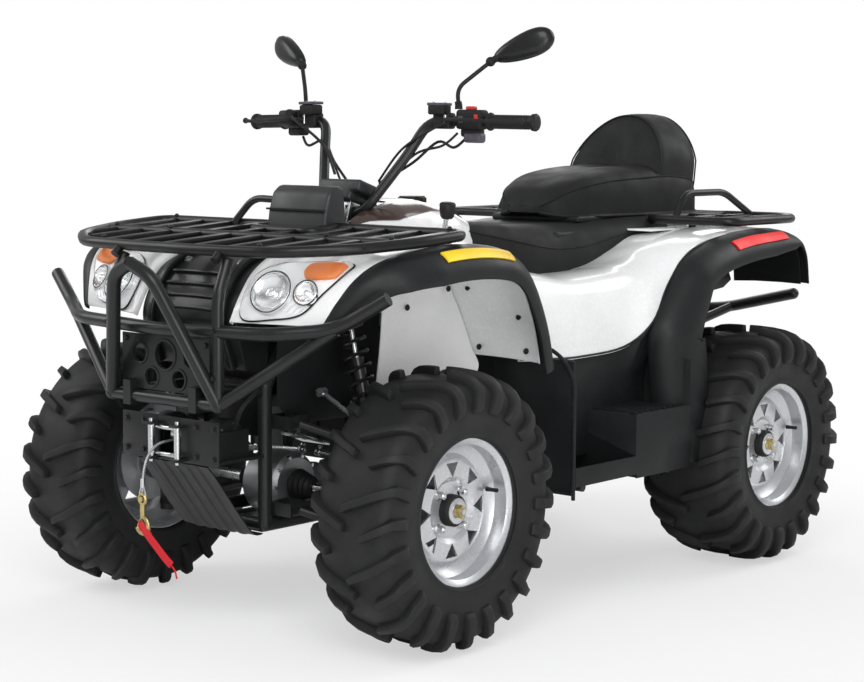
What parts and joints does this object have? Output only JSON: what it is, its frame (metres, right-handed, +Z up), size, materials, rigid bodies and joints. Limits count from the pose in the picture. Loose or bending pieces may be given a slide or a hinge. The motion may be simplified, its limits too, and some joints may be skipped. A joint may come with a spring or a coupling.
{
  "type": "quad bike",
  "caption": "Two-seat utility quad bike with luggage racks, bull bar and winch, steered by a handlebar on low-pressure off-road tyres.",
  "frame": {"origin": "on the ground, under the middle of the vehicle's length and width", "axes": "+Z up, the front faces -Y, +X is the rider's left"},
  "size_m": [1.1856, 2.2011, 1.3749],
  "materials": {
    "frame_paint": "satin",
    "rack_paint": "satin",
    "engine_cast": "cast",
    "cast_dark": "matte",
    "steel": "brushed",
    "hook_zinc": "plated",
    "red_webbing": "woven",
    "white_plastic": "gloss",
    "black_plastic": "grained",
    "bar_paint": "satin",
    "lamp_lens": "clear",
    "tail_lens": "clear",
    "reflector": "prismatic",
    "seat_vinyl": "grained vinyl",
    "exhaust_steel": "brushed",
    "shock_black": "satin",
    "rim_steel": "silver",
    "tyre_rubber": "matte"
  },
  "bodies": {
    "chassis": {"frame": "frame_paint", "engine": "engine_cast", "skid_plate": "frame_paint", "front_bumper": "frame_paint", "winch": "frame_paint", "winch_rope": "steel", "winch_hook": "hook_zinc", "hook_strap": "red_webbing", "front_rack": "rack_paint", "rear_rack": "rack_paint", "nose_cowl": "black_plastic", "front_guards": "white_plastic", "front_flares": "black_plastic", "headlights": "lamp_lens", "console": "black_plastic", "tank_cover": "white_plastic", "rider_seat": "seat_vinyl", "passenger_seat": "seat_vinyl", "side_panels": "white_plastic", "rear_body": "white_plastic", "rear_flares": "black_plastic", "footwells": "black_plastic", "tail_lights": "tail_lens", "side_reflectors": "reflector", "rear_bumper": "frame_paint", "exhaust": "exhaust_steel", "gear_lever": "black_plastic", "drive_line": "cast_dark", "suspension_arms": "frame_paint", "shock_absorbers": "shock_black", "rear_uprights": "cast_dark"},
    "steering": {"steering_column": "steel", "handlebar": "bar_paint", "handlebar_cover": "black_plastic", "hand_controls": "black_plastic", "mirrors": "black_plastic"},
    "front_left_knuckle": {"knuckle_left": "cast_dark"},
    "left_tie_rod": {"tie_rod_left": "steel"},
    "front_right_knuckle": {"knuckle_right": "cast_dark"},
    "right_tie_rod": {"tie_rod_right": "steel"},
    "front_left_wheel": {"front_left_rim": "rim_steel", "front_left_tyre": "tyre_rubber"},
    "front_right_wheel": {"front_right_rim": "rim_steel", "front_right_tyre": "tyre_rubber"},
    "rear_left_wheel": {"rear_left_rim": "rim_steel", "rear_left_tyre": "tyre_rubber"},
    "rear_right_wheel": {"rear_right_rim": "rim_steel", "rear_right_tyre": "tyre_rubber"}
  },
  "joints": [
    {"name": "handlebar_steer", "type": "hinge", "parent": "chassis", "child": "steering", "pos_m": [0, -0.42, 0.93], "axis": [0, 0.309, 0.9511], "range_deg": [-33, 33]},
    {"name": "knuckle_left_steer", "type": "hinge", "parent": "chassis", "child": "front_left_knuckle", "pos_m": [0.385, -0.635, 0.31], "axis": [0, 0, 1], "range_deg": [-28.5, 28.5]},
    {"name": "tie_rod_left_turn", "type": "hinge", "parent": "front_left_knuckle", "child": "left_tie_rod", "pos_m": [0.365, -0.555, 0.33], "axis": [0, 0, 1], "range_deg": [-28.5, 28.5]},
    {"name": "knuckle_right_steer", "type": "hinge", "parent": "chassis", "child": "front_right_knuckle", "pos_m": [-0.385, -0.635, 0.31], "axis": [0, 0, 1], "range_deg": [-28.5, 28.5]},
    {"name": "tie_rod_right_turn", "type": "hinge", "parent": "front_right_knuckle", "child": "right_tie_rod", "pos_m": [-0.365, -0.555, 0.33], "axis": [0, 0, 1], "range_deg": [-28.5, 28.5]},
    {"name": "front_left_wheel_spin", "type": "hinge", "parent": "front_left_knuckle", "child": "front_left_wheel", "pos_m": [0.48, -0.635, 0.31], "axis": [1, 0, 0], "continuous": true},
    {"name": "front_right_wheel_spin", "type": "hinge", "parent": "front_right_knuckle", "child": "front_right_wheel", "pos_m": [-0.48, -0.635, 0.31], "axis": [1, 0, 0], "continuous": true},
    {"name": "rear_left_wheel_spin", "type": "hinge", "parent": "chassis", "child": "rear_left_wheel", "pos_m": [0.469, 0.635, 0.31], "axis": [1, 0, 0], "continuous": true},
    {"name": "rear_right_wheel_spin", "type": "hinge", "parent": "chassis", "child": "rear_right_wheel", "pos_m": [-0.469, 0.635, 0.31], "axis": [1, 0, 0], "continuous": true}
  ],
  "couplings": [
    {"joint": "knuckle_left_steer", "follows": "handlebar_steer", "ratio": 0.85},
    {"joint": "tie_rod_left_turn", "follows": "handlebar_steer", "ratio": -0.85},
    {"joint": "knuckle_right_steer", "follows": "handlebar_steer", "ratio": 0.85},
    {"joint": "tie_rod_right_turn", "follows": "handlebar_steer", "ratio": -0.85}
  ]
}
